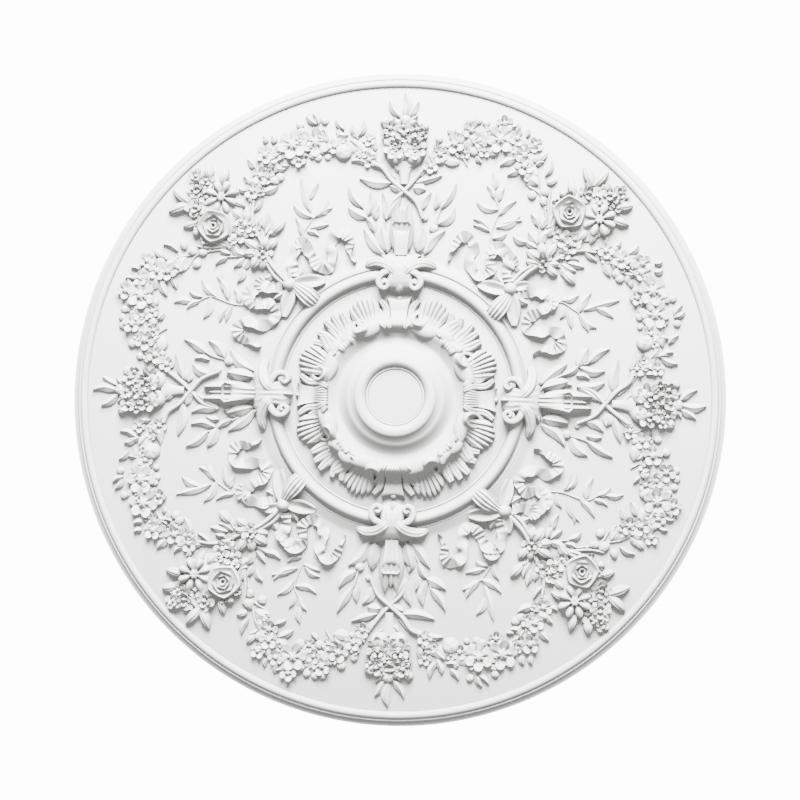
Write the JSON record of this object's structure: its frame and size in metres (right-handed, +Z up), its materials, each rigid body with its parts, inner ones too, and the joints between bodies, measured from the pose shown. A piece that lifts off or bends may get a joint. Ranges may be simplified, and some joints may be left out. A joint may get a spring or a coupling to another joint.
{
  "type": "ceiling rose",
  "caption": "Round ceiling rose with a beaded rim, a ring moulding, an acanthus collar, a lamp seat, flower garlands, tied bouquets and ribbons in relief.",
  "frame": {"origin": "centre of the flat back, which is fixed against the ceiling", "axes": "+Z up, out of the back and into the ceiling; the carved face looks down along -Z; -Y is the top of the front view and +X its right"},
  "size_m": [0.95, 0.95, 0.062],
  "materials": {
    "white_casting": "matt white factory primer on a rigid moulded foam casting"
  },
  "bodies": {
    "root": {"ceiling_rose": "white_casting"}
  },
  "joints": []
}
